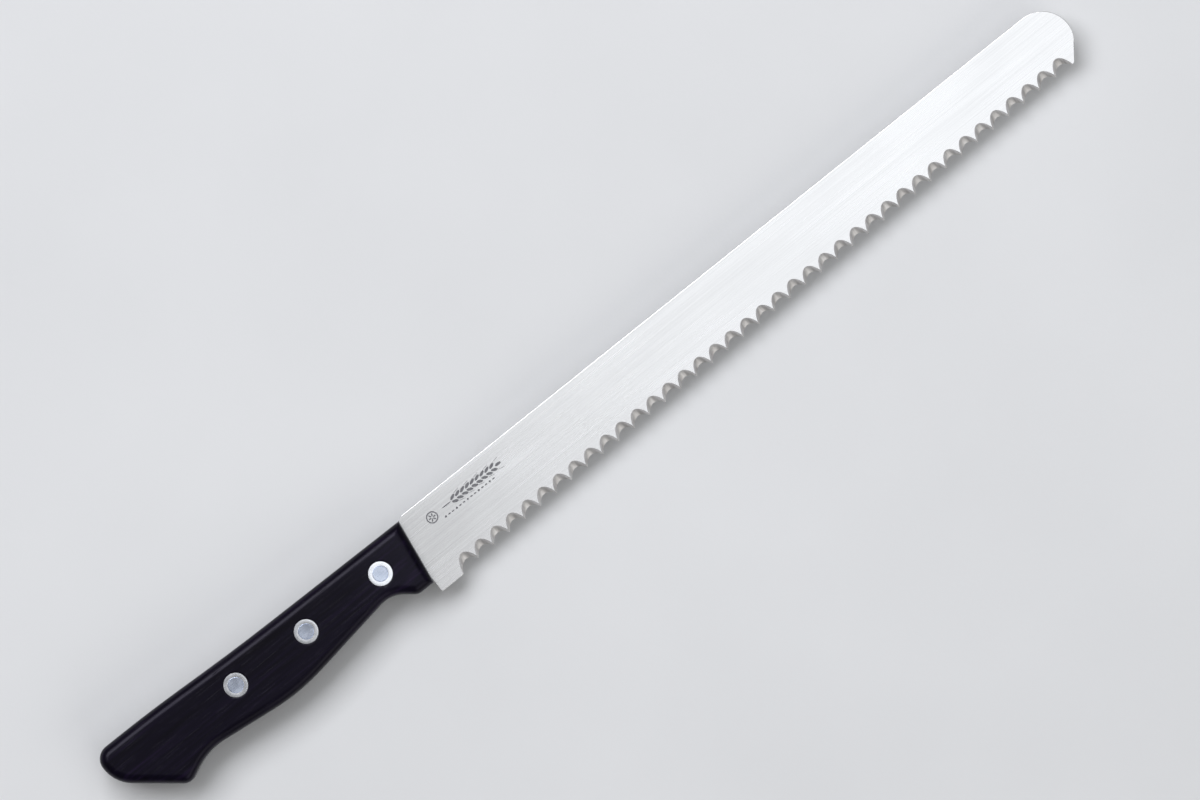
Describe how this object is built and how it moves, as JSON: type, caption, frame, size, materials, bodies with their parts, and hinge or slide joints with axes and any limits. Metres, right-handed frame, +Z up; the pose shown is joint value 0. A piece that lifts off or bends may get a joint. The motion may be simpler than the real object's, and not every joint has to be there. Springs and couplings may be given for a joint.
{
  "type": "bread knife",
  "caption": "Long serrated bread knife with a straight spine, a rounded tip and a full-tang riveted dark wood handle with a finger notch and a hooked pommel.",
  "frame": {"origin": "centre of the whole knife's outline, on the surface that it lies on", "axes": "+X from the handle's butt to the blade's tip, +Y from the cutting edge to the spine, +Z up out of the ground right face of the blade"},
  "size_m": [0.3896, 0.0286, 0.0168],
  "materials": {
    "blade_steel": "satin ground along the blade",
    "handle_wood": "resin-filled dark laminated wood, satin",
    "rivet_ring": "ground flush with the handle",
    "rivet_pin": "ground flush with the handle"
  },
  "bodies": {
    "root": {"blade": "blade_steel", "scale_right": "handle_wood", "scale_left": "handle_wood", "front_rivet_tube": "rivet_ring", "front_rivet_pin": "rivet_pin", "middle_rivet_tube": "rivet_ring", "middle_rivet_pin": "rivet_pin", "rear_rivet_tube": "rivet_ring", "rear_rivet_pin": "rivet_pin"}
  },
  "joints": []
}
